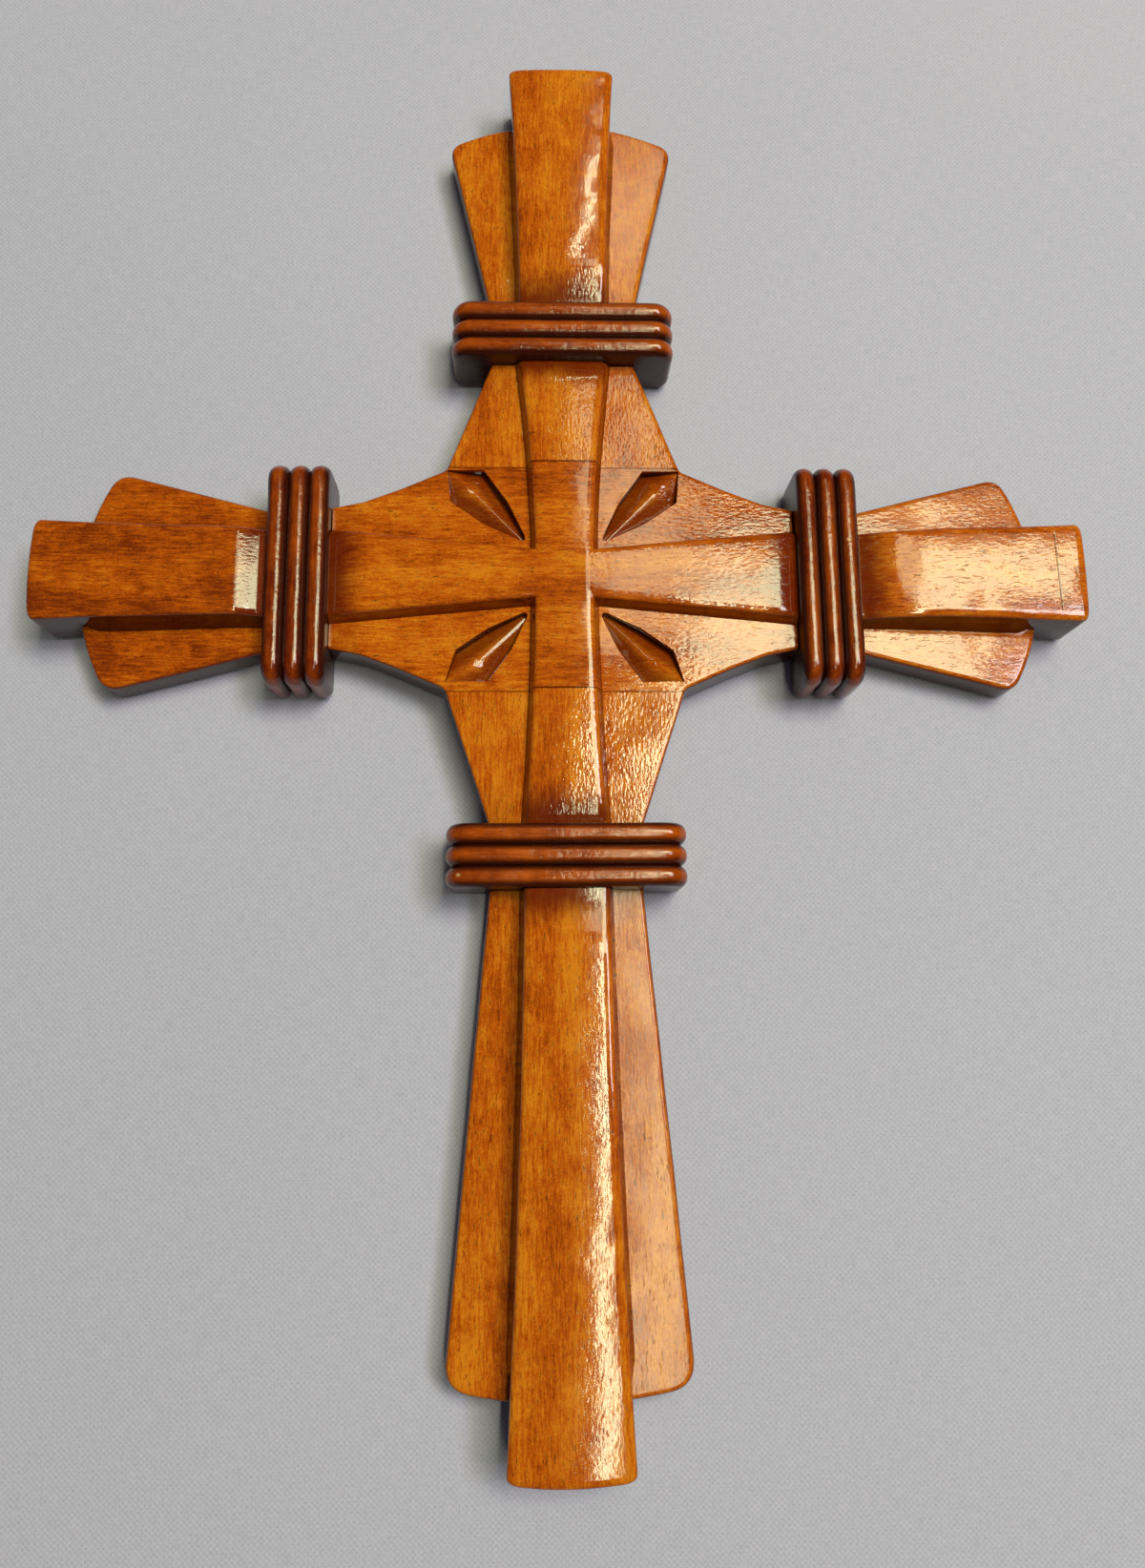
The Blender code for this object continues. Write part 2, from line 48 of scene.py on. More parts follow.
cameraSet = {
    "place": (-0.0088, -0.1260, 0.3342),
    "turn": (0.1972, -0.0312, -0.0089),
    "lens": 26.76,            # focal length against the 36 mm side of the upright picture
}

cameraData = bpy.data.cameras.new("camera")
cameraData.sensor_fit = "VERTICAL"
cameraData.sensor_height = 36.0
cameraData.lens = cameraSet["lens"]
cameraData.clip_start = 0.01
camera = bpy.data.objects.new("camera", cameraData)
camera.location = cameraSet["place"]
camera.rotation_euler = cameraSet["turn"]
bpy.context.scene.collection.objects.link(camera)
bpy.context.scene.camera = camera

# Each panel: where it hangs, how large it is, and how bright its face is.
panels = {
    "windowHigh": {"place": (0.795, 0.79, 2.0), "size": (0.79, 0.22), "glow": 14.5},
    "windowLow": {"place": (0.610, 0.46, 2.0), "size": (0.64, 0.48), "glow": 14.5},
    "windowSoft": {"place": (0.345, 0.80, 2.0), "size": (0.11, 0.20), "glow": 6.5},
    "windowTop": {"place": (0.950, 1.02, 2.0), "size": (0.60, 0.24), "glow": 1.0},
    "edgeHigh": {"place": (0.262, -0.02, 2.0), "size": (0.062, 0.96), "glow": 31.0},
    "edgeLow": {"place": (0.2325, -0.80, 2.0), "size": (0.075, 0.60), "glow": 24.0},
    "curtain": {"place": (0.220, 0.95, 2.0), "size": (0.16, 0.62), "glow": 6.0},
    "slit": {"place": (0.222, 1.65, 2.0), "size": (0.030, 0.50), "glow": 42.0},
    "sun": {"place": (1.700, 0.300, 3.00), "size": (1.25, 0.60), "glow": 16.0},
}
paneWarmth = (0.97, 1.0, 0.62)
sunColour = (1.0, 0.985, 0.965)
slitTurn = -0.431

roomLight = {
    "fill": 0.07,             # plain light from all around
    "pale": 0.60,             # the backdrop past the cloth
    "horizon": 0.16,          # what the varnish shows of the walls
    "overhead": 0.035,        # and of the dim ceiling
}


def addLights():
    for name, panel in panels.items():
        lamp = bpy.data.lights.new(name, "AREA")
        lamp.shape = "RECTANGLE"
        lamp.size, lamp.size_y = panel["size"]
        lamp.energy = panel["glow"] * math.pi * lamp.size * lamp.size_y
        lamp.color = sunColour if name == "sun" else paneWarmth
        light = bpy.data.objects.new(name, lamp)
        light.location = panel["place"]
        light.rotation_euler = (0.0, 0.0, slitTurn if name == "slit" else 0.0)
        if name == "sun":
            light.rotation_euler = (-Vector(panel["place"])).to_track_quat("-Z", "Y").to_euler()
        bpy.context.scene.collection.objects.link(light)


# Shader maths

class Sock:
    def __init__(self, kit, out):
        self.kit = kit
        self.out = out

    def math(self, operation, *others):
        return self.kit.math(operation, self, *others)

    def __add__(self, other):
        return self.math("ADD", other)

    def __mul__(self, other):
        return self.math("MULTIPLY", other)

    def __sub__(self, other):
        return self.math("SUBTRACT", other)

    def __rsub__(self, other):
        return self.kit.math("SUBTRACT", other, self)

    def __truediv__(self, other):
        return self.math("DIVIDE", other)

    def __pow__(self, other):
        return self.math("POWER", other)

    def __neg__(self):
        return self * -1.0

    def __abs__(self):
        return self.math("ABSOLUTE")

    __radd__ = __add__
    __rmul__ = __mul__

    def min(self, other):
        return self.math("MINIMUM", other)

    def max(self, other):
        return self.math("MAXIMUM", other)

    def clamp(self):
        return self.max(0.0).min(1.0)

    def ramp(self, low, high):
        settings = {"interpolation_type": "SMOOTHSTEP"}
        values = {0: self, 1: low, 2: high, 3: 0.0, 4: 1.0}
        return self.kit.add("ShaderNodeMapRange", settings, values)


class Kit:
    def __init__(self, tree):
        self.tree = tree

    def add(self, kind, settings=None, values=None, output=0):
        node = self.tree.nodes.new(kind)
        for key, value in (settings or {}).items():
            if key == "stops":
                self.setStops(node.color_ramp, value)
            else:
                setattr(node, key, value)
        for key, value in (values or {}).items():
            if isinstance(value, Sock):
                self.tree.links.new(value.out, node.inputs[key])
            else:
                node.inputs[key].default_value = value
        return Sock(self, node.outputs[output])

    def setStops(self, ramp, stops):
        while len(ramp.elements) < len(stops):
            ramp.elements.new(0.5)
        for element, (place, colour) in zip(ramp.elements, stops):
            element.position = place
            element.color = (*colour, 1.0)

    def math(self, operation, *values):
        return self.add("ShaderNodeMath", {"operation": operation}, dict(enumerate(values)))

    def vector(self, x, y, z):
        return self.add("ShaderNodeCombineXYZ", None, {0: x, 1: y, 2: z})

    def split(self, vector):
        node = self.tree.nodes.new("ShaderNodeSeparateXYZ")
        self.tree.links.new(vector.out, node.inputs[0])
        return [Sock(self, out) for out in node.outputs]

    def noise(self, vector, detail=2.0, roughness=0.5, distortion=0.0):
        values = {"Vector": vector, "Scale": 1.0, "Detail": detail}
        values["Roughness"] = roughness
        values["Distortion"] = distortion
        return self.add("ShaderNodeTexNoise", None, values)

    def blend(self, share, first, second):
        settings = {"data_type": "RGBA", "clamp_factor": True}
        first = first if isinstance(first, Sock) else (*first, 1.0)
        second = second if isinstance(second, Sock) else (*second, 1.0)
        return self.add("ShaderNodeMix", settings, {0: share, 6: first, 7: second}, 2)

    def colours(self, share, stops):
        return self.add("ShaderNodeValToRGB", {"stops": stops}, {0: share})

    def bump(self, height, strength=1.0):
        values = {"Strength": strength, "Distance": metres, "Height": height}
        return self.add("ShaderNodeBump", None, values)


def newMaterial(name, constants):
    material = bpy.data.materials.new(name)
    material.use_nodes = True
    shader = material.node_tree.nodes["Principled BSDF"]
    for key, value in constants.items():
        shader.inputs[key].default_value = value
    return material, Kit(material.node_tree), shader


def finishMaterial(kit, shader, **sockets):
    for name, sock in sockets.items():
        kit.tree.links.new(sock.out, shader.inputs[name.replace("_", " ")])


# Wood

boardLook = {
    "dark": (0.190, 0.026, 0.0015),
    "middle": (0.510, 0.092, 0.0020),
    "light": (0.720, 0.220, 0.0100),
    # The next colour is the stain. It also serves as painted shade on steep walls and at their
    # feet.
    "stainAndShade": (0.125, 0.0095, 0.0010),
    # The next colour is for the faces that stand up from the board: partly their darker stain,
    # partly painted shade.
    "side": (0.022, 0.0045, 0.0028),
    "back": (0.300, 0.125, 0.0450),
    "pore": (0.085, 0.014, 0.0020),
    "gloss": 1.50,            # refraction of the varnish
    "score": 143.9,           # a fine scored line near the right end
    "seamLine": 34.58,        # where the glue line shows
}


def grainParts(kit, grain, offset):
    place = kit.add("ShaderNodeTexCoord", None, None, 3)
    x, y, z = [part * 1000.0 for part in kit.split(place)]
    across, along = (x, y) if grain == "y" else (y, x)
    across = across + offset
    figure = kit.noise(kit.vector(across / 13.0, along / 34.0, z / 20.0), 4.0, 0.6, 0.8)
    bend = kit.noise(kit.vector(across / 30.0, along / 90.0, z / 30.0), 1.0)
    rings = (((across + z * 0.4) / 3.1 + bend * 9.0).math("SINE")) * 0.5 + 0.5
    fibre = kit.noise(kit.vector(across / 0.75, along / 8.0, z / 1.2), 4.0, 0.7)
    flecks = kit.noise(kit.vector(across / 0.42, along / 2.8, z / 0.8), 2.0, 0.6)
    ripple = kit.noise(kit.vector(across / 8.0, along / 4.5, z / 9.0), 4.0, 0.65, 0.6)
    return x, y, z, across, along, figure, rings, fibre, flecks, ripple


def boardMaterial(name, grain, offset, collars, cloudy):
    constants = {"IOR": boardLook["gloss"]}
    material, kit, shader = newMaterial(name, constants)
    parts = grainParts(kit, grain, offset)
    x, y, z, across, along, figure, rings, fibre, flecks, ripple = parts
    normal = kit.add("ShaderNodeNewGeometry", None, None, 1)
    up = kit.split(normal)[2]
    grit = kit.noise(kit.vector(x / 0.55, y / 0.55, z / 0.55), 1.0, 0.5)

    tone = 0.54 + (figure - 0.5) * cloudy + (rings - 0.5) * 0.14
    tone = tone + (fibre - 0.5) * 1.15 + (ripple - 0.5) * 0.48 + (grit - 0.5) * 0.40
    tone = tone + (flecks - 0.5) * 0.80
    if grain == "x":
        tone = tone - (-x).ramp(80.0, 104.0) * 0.17
    else:
        tone = tone + 0.06
    stops = [
        (0.12, boardLook["dark"]),
        (0.50, boardLook["middle"]),
        (0.86, boardLook["light"]),
    ]
    colour = kit.colours(tone, stops)
    pores = flecks.ramp(0.61, 0.69)
    colour = kit.blend(pores * 0.72, colour, boardLook["pore"])

    near = None
    for centre in collars:
        distance = abs(along - centre)
        reach = 1.0 - (distance + (figure - 0.5) * 7.0 + (fibre - 0.5) * 3.0).ramp(11.5, 21.5)
        near = reach if near is None else near.max(reach)
    raised = z.ramp(12.0, 14.5)
    near = near * (0.28 + raised * 0.68)
    recess = (1.0 - z.ramp(9.6, 11.5)) * z.ramp(5.6, 6.4)
    recess = recess * (abs(x)).ramp(9.3, 10.0) * (1.0 - (abs(x)).ramp(34.6, 35.0))
    recess = recess * (abs(y)).ramp(8.6, 9.3) * (1.0 - (abs(y)).ramp(34.2, 34.5))
    # Steep walls are darkened, most of all at their feet in the corners: partly stain, partly
    # painted shade.
    wallStainAndShade = 1.0 - up.ramp(0.50, 0.96)
    foot = 1.0 - z.ramp(12.0, 14.0)
    seam = 1.0 - (abs(abs(y) - boardLook["seamLine"])).ramp(0.12, 0.50)
    seam = seam * (1.0 - (abs(x)).ramp(34.4, 34.8)) * (0.35 + 0.45 * raised)
    stainAndShadeMask = near.max(recess * 0.80).max(wallStainAndShade * (0.55 + foot * 0.42)).max(seam)
    colour = kit.blend(stainAndShadeMask * 0.92, colour, boardLook["stainAndShade"])
    # Faces that stand up from the board are painted much darker: partly darker stain, partly
    # painted shade.
    side = 1.0 - up.ramp(0.08, 0.40)
    colour = kit.blend(side * 0.86, colour, boardLook["side"])
    back = (-up).ramp(0.60, 0.90)
    bare = kit.blend(fibre, boardLook["back"], boardLook["side"])
    colour = kit.blend(back * 0.9, colour, bare)

    peel = kit.noise(kit.vector(x / 2.0, y / 2.0, z / 2.0), 1.0, 0.5)
    rough = 0.075 + (fibre - 0.5) * 0.05 + near * 0.02 + back * 0.40
    stipple = kit.noise(kit.vector(across / 0.75, along / 1.8, z / 1.5), 1.0, 0.5)
    rightSide = x.ramp(4.0, 34.0) * (1.0 - x.ramp(90.0, 104.0) * 0.7)
    lively = rightSide.max((-x).ramp(84.0, 92.0) * 1.2)
    if grain == "y":
        wing = 1.0 - z.ramp(9.2, 10.2)
        lively = (0.14 + y.ramp(-98.0, -80.0) * 0.86) * (1.0 - y.ramp(93.0, 104.0) * 0.90)
        rough = rough + wing * x.ramp(9.0, 15.0) * 0.09
    height = fibre * 0.004 + peel * 0.014 + grit * 0.003 + ripple * (0.004 + lively * 0.012)
    height = height + stipple * (0.006 + lively * 0.034)
    height = height - pores * x.ramp(-2.0, 12.0) * 0.008
    if grain == "x":
        score = 1.0 - (abs(x - boardLook["score"] + (y + 0.8) * 0.02)).ramp(0.10, 0.34)
        score = score * z.ramp(16.0, 16.6) * (1.0 - (abs(y)).ramp(11.5, 12.5))
        colour = kit.blend(score * 0.75, colour, boardLook["pore"])
        height = height - score * 0.03 - pores * x.ramp(40.0, 95.0) * 0.032
    normal = kit.bump(height)
    finishMaterial(kit, shader, Base_Color=colour, Roughness=rough.clamp(), Normal=normal)
    return material


collarLook = {
    "crest": (0.150, 0.014, 0.0015),
    "bright": (0.520, 0.095, 0.0040),
    # The next colour is painted shade for the grooves between the beads. It also darkens the pores.
    "groove": (0.030, 0.0030, 0.0010),
    # The next colour is painted shade for the end faces and for the lower part towards the cloth.
    "face": (0.052, 0.0085, 0.0030),
    "chip": (0.62, 0.36, 0.15),
    "chips": {"rightCollarWood": (82.6, 9.0), "bottomCollarWood": (-29.6, -88.0)},
}


def collarMaterial(name, axis, centre, offset):
    constants = {"IOR": boardLook["gloss"]}
    material, kit, shader = newMaterial(name, constants)
    grain = "x" if axis == "y" else "y"
    parts = grainParts(kit, grain, offset)
    x, y, z, across, along, figure, rings, fibre, flecks, ripple = parts
    normal = kit.add("ShaderNodeNewGeometry", None, None, 1)
    towards = kit.split(normal)[1 if axis == "y" else 0]
    run = y if axis == "y" else x
    bead = abs(((run - centre) / collar["pitch"] + 0.5).math("FRACT") - 0.5)
    tone = 0.55 if axis == "y" else 0.30
    tone = tone + (figure - 0.5) * 1.4 + (ripple - 0.5) * 0.9 + (fibre - 0.5) * 1.3
    colour = kit.blend(tone, collarLook["crest"], collarLook["bright"])
    # The grooves between the beads are painted near black: painted shade.
    groove = bead.ramp(0.10, 0.42)
    colour = kit.blend(groove * 0.95, colour, collarLook["groove"])
    # End faces, and the lower part towards the cloth, are painted darker: painted shade.
    face = (abs(towards)).ramp(0.75, 0.97)
    colour = kit.blend(face * 0.85, colour, collarLook["face"])
    low = 1.0 - z.ramp(2.0, 11.0)
    colour = kit.blend(low * 0.55, colour, collarLook["face"])
    pores = flecks.ramp(0.62, 0.74)
    colour = kit.blend(pores * 0.5, colour, collarLook["groove"])
    peel = kit.noise(kit.vector(x / 1.9, y / 1.9, z / 1.9), 3.0, 0.6)
    rough = 0.10 + (fibre - 0.5) * 0.08 + groove * 0.06 + face * 0.12
    height = fibre * 0.030 + peel * 0.075 + ripple * 0.06 - pores * 0.015
    if name in collarLook["chips"]:
        chipX, chipY = collarLook["chips"][name]
        spread = ((x - chipX) ** 2 + (y - chipY) ** 2).math("SQRT") + (flecks - 0.5) * 0.8
        chip = (1.0 - spread.ramp(0.35, 0.8)) * z.ramp(16.0, 17.0)
        colour = kit.blend(chip * 0.8, colour, collarLook["chip"])
        height = height - chip * 0.15
    normal = kit.bump(height)
    finishMaterial(kit, shader, Base_Color=colour, Roughness=rough.clamp(), Normal=normal)
    return material


def pegMaterial(name, centre):
    material, kit, shader = newMaterial(name, {"IOR": 1.45})
    place = kit.add("ShaderNodeTexCoord", None, None, 3)
    x, y, z = [part * 1000.0 for part in kit.split(place)]
    x = x - centre[0]
    y = y - centre[1]
    spread = ((x + 1.6) ** 2 + (y * y)).math("SQRT")
    warp = kit.noise(kit.vector(x / 2.0, y / 2.0, z / 9.0), 2.0)
    rings = ((spread * 9.0 + warp * 5.0).math("SINE")) * 0.5 + 0.5
    grit = kit.noise(kit.vector(x / 0.16, y / 0.16, z / 2.0), 2.0)
    colour = kit.blend(rings * 0.6 + grit * 0.4, (0.60, 0.38, 0.19), (0.36, 0.19, 0.080))
    rough = 0.62 + (grit - 0.5) * 0.2
    finishMaterial(kit, shader, Base_Color=colour, Roughness=rough, Normal=kit.bump(grit * 0.02))
    return material


def steelMaterial(name, along):
    material, kit, shader = newMaterial(name, {"Metallic": 1.0})
    place = kit.add("ShaderNodeTexCoord", None, None, 3)
    x, y, z = [part * 1000.0 for part in kit.split(place)]
    lines = kit.noise(kit.vector(x / 0.06, y / along, z / 0.3), 2.0, 0.6)
    spots = kit.noise(kit.vector(x / 3.0, y / 3.0, z / 3.0), 3.0, 0.6)
    colour = kit.blend(spots.ramp(0.45, 0.75), (0.62, 0.60, 0.56), (0.42, 0.38, 0.33))
    rough = 0.30 + (lines - 0.5) * 0.20 + spots.ramp(0.5, 0.8) * 0.15
    finishMaterial(kit, shader, Base_Color=colour, Roughness=rough, Normal=kit.bump(lines * 0.006))
    return material


# Shapes

def ease(share):
    share = min(max(share, 0.0), 1.0)
    return share * share * (3.0 - 2.0 * share)


def between(low, high, share):
    return low + (high - low) * share


def shapeObject(name, bm):
    bmesh.ops.recalc_face_normals(bm, faces=bm.faces)
    mesh = bpy.data.meshes.new(name)
    bm.to_mesh(mesh)
    bm.free()
    shape = bpy.data.objects.new(name, mesh)
    bpy.context.scene.collection.objects.link(shape)
    return shape


def turned(shape, arm):
    shape.data.transform(Matrix.Rotation(turns[arm], 4, "Z"))
    return shape


def carve(base, others, operation):
    for other in others:
        modifier = base.modifiers.new(other.name, "BOOLEAN")
        modifier.operation = operation
        modifier.solver = "EXACT"
        modifier.object = other
    graph = bpy.context.evaluated_depsgraph_get()
    graph.update()
    mesh = bpy.data.meshes.new_from_object(base.evaluated_get(graph))
    oldMesh = base.data
    base.modifiers.clear()
    base.data = mesh
    bpy.data.meshes.remove(oldMesh)
    for other in others:
        bpy.data.objects.remove(other, do_unlink=True)
    bm = bmesh.new()
    bm.from_mesh(mesh)
    bmesh.ops.remove_doubles(bm, verts=bm.verts, dist=0.0015)
    bm.to_mesh(mesh)
    bm.free()
    return base


def block(name, low, high):
    bm = bmesh.new()
    bmesh.ops.create_cube(bm, size=1.0)
    size = [b - a for a, b in zip(low, high)]
    bmesh.ops.scale(bm, vec=size, verts=bm.verts)
    bmesh.ops.translate(bm, vec=[(a + b) / 2 for a, b in zip(low, high)], verts=bm.verts)
    return shapeObject(name, bm)


def rod(name, radius, low, high, place, topRadius=None):
    bm = bmesh.new()
    top = radius if topRadius is None else topRadius
    bmesh.ops.create_cone(
        bm, cap_ends=True, segments=40, radius1=radius, radius2=top, depth=high - low
    )
    bmesh.ops.translate(bm, vec=(place[0], place[1], (low + high) / 2), verts=bm.verts)
    return shapeObject(name, bm)


# A flat board cut to an outline, with its upper edge rounded over.
def plate(name, outline, low, high, rounding, hidden):
    bm = bmesh.new()
    face = bm.faces.new([bm.verts.new((x, y, high)) for x, y in outline])
    grown = bmesh.ops.extrude_face_region(bm, geom=[face])
    lower = [item for item in grown["geom"] if isinstance(item, bmesh.types.BMVert)]
    bmesh.ops.translate(bm, vec=(0.0, 0.0, low - high), verts=lower)
    bmesh.ops.recalc_face_normals(bm, faces=bm.faces)
    rim = [edge for edge in bm.edges if all(vert.co.z > high - 0.001 for vert in edge.verts)]
    shown = [edge for edge in rim if not hidden((edge.verts[0].co + edge.verts[1].co) / 2)]
    bmesh.ops.bevel(
        bm, geom=shown, offset=rounding, segments=5, profile=0.5, affect="EDGES", material=-1
    )
    top = [item for item in bm.faces if all(vert.co.z > high - 0.001 for vert in item.verts)]
    bmesh.ops.inset_region(bm, faces=top, thickness=0.35, use_even_offset=True)
    return shapeObject(name, bm)


# A bar drawn along its arm: each ring is pulled out of the last one and moved to its section.
def loft(name, rings):
    bm = bmesh.new()
    ring = [bm.verts.new(point) for point in rings[0]]
    count = len(ring)
    edges = [bm.edges.new((ring[k], ring[(k + 1) % count])) for k in range(count)]
    bm.faces.new(ring)
    for points in rings[1:]:
        places = {vert.co.to_tuple(6): k for k, vert in enumerate(ring)}
        grown = bmesh.ops.extrude_edge_only(bm, edges=edges)["geom"]
        fresh = [item for item in grown if isinstance(item, bmesh.types.BMVert)]
        edges = [
            item
            for item in grown
            if isinstance(item, bmesh.types.BMEdge) and all(v in fresh for v in item.verts)
        ]
        order = {places[vert.co.to_tuple(6)]: vert for vert in fresh}
        for k, vert in order.items():
            vert.co = points[k]
        ring = [order[k] for k in range(count)]
    bm.faces.new(ring)
    return shapeObject(name, bm)


def section(half, foot, low, level, top, inset=0.0, drop=0.0):
    side = [(half + foot - inset, low), (half + foot - inset, level)]
    for step in range(7):
        angle = math.radians(15.0 * step)
        side.append((
            half - inset - board["roll"] * (1.0 - math.cos(angle)),
            top - drop - board["edge"] * (1.0 - math.sin(angle)),
        ))
    side.append((half - inset - board["roll"] - 0.4, top - drop))
    return side


def ringAt(along, side):
    ring = [(x, along, z) for x, z in side]
    return ring + [(-x, along, z) for x, z in reversed(side)]


board = {
    "half": 34.5,
    "ground": 11.7,
    "wing": 8.5,
    "seam": 34.65,
    "barMiddle": 16.3,
    "barEnd": 18.0,
    "waist": 21.7,
    "neck": 20.7,
    "neckTop": 7.5,
    "rib": 12.2,
    "ribTop": 14.2,
    "shoulder": 9.05,
    "foot": 1.35,
    "edge": 1.1,              # how far a worn bar edge comes down
    "roll": 2.3,              # and how far in it starts
    "corner": 2.0,
    "flare": 1.6,
    "bow": 14.0,              # length of a bar that the curve of its end takes
    "grid": 2.6,              # spacing of the cuts that the hand waves move
}

arms = {
    "top": {
        "collar": 77.0, "reach": 167.6, "waist": 13.2, "end": 16.4, "bulge": 0.3,
        "wing": 35.4, "arc": 78.0, "corner": 4.0, "dip": 14.0, "start": 14.9,
    },
    "bottom": {
        "collar": 82.4, "reach": 241.0, "waist": 11.9, "end": 16.4, "bulge": 1.1,
        "wing": 33.0, "arc": 142.0, "corner": 7.0, "dip": 20.0, "start": 15.9,
    },
    "left": {
        "collar": 77.0, "reach": 152.4, "waist": 13.2, "end": 15.0, "bulge": 0.8,
        "wing": 33.8, "arc": 64.5, "corner": 5.0, "dip": 9.5, "start": 15.6,
    },
    "right": {
        "collar": 77.0, "reach": 152.4, "waist": 13.2, "end": 15.0, "bulge": 0.4,
        "wing": 33.8, "arc": 64.5, "corner": 4.4, "dip": 30.0, "start": 14.1,
    },
}


def fanOutline(arm):
    collar, radius, corner = arm["collar"], arm["arc"], arm["corner"]
    start = Vector((board["waist"], collar + board["shoulder"]))
    centre = Vector((0.0, collar))
    widest = math.asin(arm["wing"] / radius)
    tip = centre + radius * Vector((math.sin(widest), math.cos(widest)))
    edgeEnd = tip + (start - tip).normalized() * corner
    arcAngle = widest - corner / radius
    arcStart = centre + radius * Vector((math.sin(arcAngle), math.cos(arcAngle)))
    half = [start]
    for step in range(9):
        share = step / 8
        half.append(edgeEnd.lerp(tip, share).lerp(tip.lerp(arcStart, share), share))
    for step in range(1, 16):
        angle = arcAngle * (1.0 - step / 16)
        half.append(centre + radius * Vector((math.sin(angle), math.cos(angle))))
    half.append(centre + radius * Vector((0.0, 1.0)))
    right = [(point.x, point.y) for point in half]
    return right + [(-x, y) for x, y in reversed(right[:-1])]


def armShapes(side):
    arm = arms[side]
    start = arm["collar"] + board["shoulder"]
    reach, corner = arm["reach"], board["corner"]
    hidden = lambda p: p.y < start + 0.1
    shapes = [plate(side + "Wings", fanOutline(arm), -1.3, board["wing"], 1.3, hidden)]

    near = start - 2 * board["shoulder"] - 1.0
    far = start + 1.0
    neck, rib = board["neck"], board["rib"]
    if side == "bottom":
        rib = arm["waist"] - 1.0
    shapes.append(block(side + "Neck", (-neck, near, -1.6), (neck, far, board["neckTop"])))
    shapes.append(block(side + "Rib", (-rib, near, 6.0), (rib, far, board["ribTop"])))

    def halfAt(along):
        share = (along - start) / (reach - start)
        return between(arm["waist"], arm["end"], share ** board["flare"])

    def topAt(along):
        share = min((along - start) / arm["dip"], 1.0)
        rise = 1.0 - (1.0 - share) ** 2 if side == "right" else ease(share)
        return between(arm["start"], board["barEnd"], rise)

    rings = []
    steps = int((reach - start - corner) / 2.0)
    for step in range(steps + 1):
        along = between(start, reach - corner, step / steps)
        rings.append(ringAt(along, section(halfAt(along), 0.0, -1.0, 4.0, topAt(along))))
    for step in range(1, 7):
        angle = math.radians(15.0 * step)
        along = reach - corner * (1.0 - math.sin(angle))
        inset = 1.0 - math.cos(angle)
        rounded = inset * corner, inset * board["edge"]
        outline = section(halfAt(along), 0.0, -1.0, 4.0, board["barEnd"], *rounded)
        rings.append(ringAt(along, outline))
    shapes.append(loft(side + "Bar", rings))

    # sloped walls where the bar stands over the wings
    wallEnd = arm["collar"] + math.sqrt(arm["arc"] ** 2 - (arm["end"] + 2.0) ** 2) - 1.6
    wall = []
    for step in range(17):
        along = between(start, wallEnd, step / 16)
        half = halfAt(along)
        fade = min(1.0, 0.03 + (wallEnd - along) / 4.0)
        foot = half + between(board["foot"], 1.7, step / 16) * fade
        top = topAt(along) - board["edge"]
        points = [
            (foot, 6.5),
            (foot, board["wing"]),
            (half - 0.3, top),
            (half - 3.0, top),
            (half - 3.0, 6.5),
        ]
        wall.append([(x, along, z) for x, z in points])
    shapes.append(loft(side + "WallRight", wall))
    shapes.append(loft(side + "WallLeft", [[(-x, y, z) for x, y, z in ring] for ring in wall]))
    return [turned(shape, side) for shape in shapes]


bars = {
    "slim": 8.6,              # half width of the upright bar beside the crossing
    "levelSlim": 7.4,         # and of the level bar
    "wide": 13.2,             # half width at a collar
    "bottomWide": 11.4,
    "flareStart": 8.6,        # distance from the middle where a bar starts to widen
    "near": 9.0,
    "power": 1.6,
    "sink": 1.9,
    "sinkReach": 7.5,
    "levelLower": 0.03,       # keeps the two bars from lying in one plane
}


# The raised bars around the crossing sink a little just before they reach a collar.
def innerBar(name, stations, far, arm, lower=0.0):
    rings = []
    for along, half in stations:
        sink = bars["sink"] * max(0.0, 1.0 - (far - abs(along)) / bars["sinkReach"]) ** 2
        top = board["barMiddle"] - lower - sink
        rings.append(ringAt(along, section(half, board["foot"], 8.0, board["ground"], top)))
    return turned(loft(name, rings), arm)


def flareStations(near, far, slim, wide, power, count):
    stations = []
    for step in range(count + 1):
        along = between(near, far, step / count)
        share = max(0.0, (abs(along) - bars["flareStart"]) / (abs(far) - bars["flareStart"]))
        stations.append((along, between(slim, wide, share ** power)))
    return stations


def groundPlate(name, side):
    arm = arms[side]
    far = arm["collar"] - board["shoulder"]
    half, seam, waist = board["half"], board["seam"], board["waist"]
    outline = [(-half, seam), (half, seam), (waist, far), (-waist, far)]
    hidden = lambda p: p.y < seam + 0.1 or p.y > far - 0.1
    return turned(plate(name, outline, -1.9, board["ground"], 1.0, hidden), side)


# Trims the back flat, closes it and carves the cutters out of the board.
def finishBoard(shape, cuts):
    bm = bmesh.new()
    bm.from_mesh(shape.data)
    allParts = bm.verts[:] + bm.edges[:] + bm.faces[:]
    bmesh.ops.bisect_plane(
        bm, geom=allParts, dist=0.0001, plane_co=(0, 0, 0), plane_no=(0, 0, 1), clear_inner=True
    )
    rim = [edge for edge in bm.edges if edge.is_boundary]
    bmesh.ops.holes_fill(bm, edges=rim, sides=0)
    bmesh.ops.recalc_face_normals(bm, faces=bm.faces)
    bm.to_mesh(shape.data)
    bm.free()
    carve(shape, cuts, "DIFFERENCE")
    return shape


def gridCuts(bm, spacing):
    lows = [min(v.co[axis] for v in bm.verts) for axis in (0, 1)]
    highs = [max(v.co[axis] for v in bm.verts) for axis in (0, 1)]
    for axis in (0, 1):
        normal = (1, 0, 0) if axis == 0 else (0, 1, 0)
        count = int((highs[axis] - lows[axis]) / spacing)
        for step in range(1, count + 1):
            spot = lows[axis] + (highs[axis] - lows[axis]) * step / (count + 1) + 0.013
            centre = (spot, 0, 0) if axis == 0 else (0, spot, 0)
            bmesh.ops.bisect_plane(
                bm, geom=bm.verts[:] + bm.edges[:] + bm.faces[:], dist=0.0001,
                plane_co=centre, plane_no=normal,
            )


